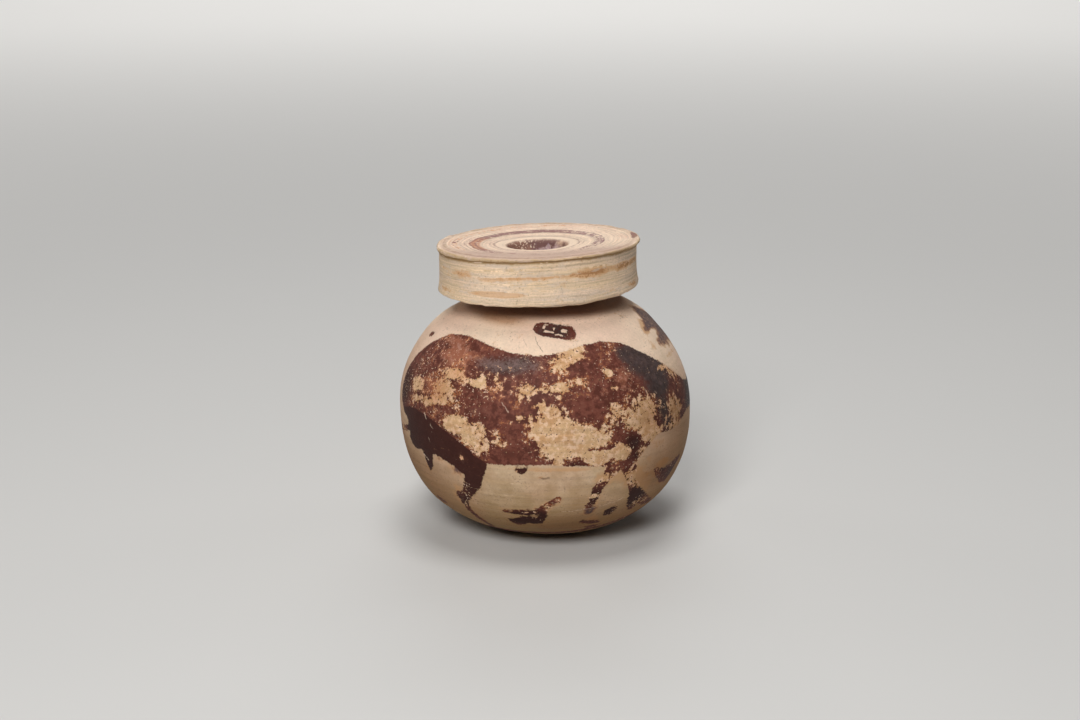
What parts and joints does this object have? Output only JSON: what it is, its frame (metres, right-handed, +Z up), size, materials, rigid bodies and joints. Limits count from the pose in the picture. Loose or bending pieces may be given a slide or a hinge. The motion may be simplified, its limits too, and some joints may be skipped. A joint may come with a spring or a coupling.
{
  "type": "round aryballos (ancient oil flask)",
  "caption": "Small round fired-clay oil flask, hollow, with a short neck, a broad flat mouth disc, a strap handle at the back and a worn painted animal.",
  "frame": {"origin": "centre of the flat foot, on the surface the flask stands on", "axes": "+Z up along the ball's axis; -Y is the painted front; +Y is the handle side; +X is the viewer's right"},
  "size_m": [0.064, 0.064, 0.0641],
  "materials": {
    "painted_clay": "fired cream clay with worn red-brown and black slip, semi-matt"
  },
  "bodies": {
    "root": {"aryballos": "painted_clay"}
  },
  "joints": []
}
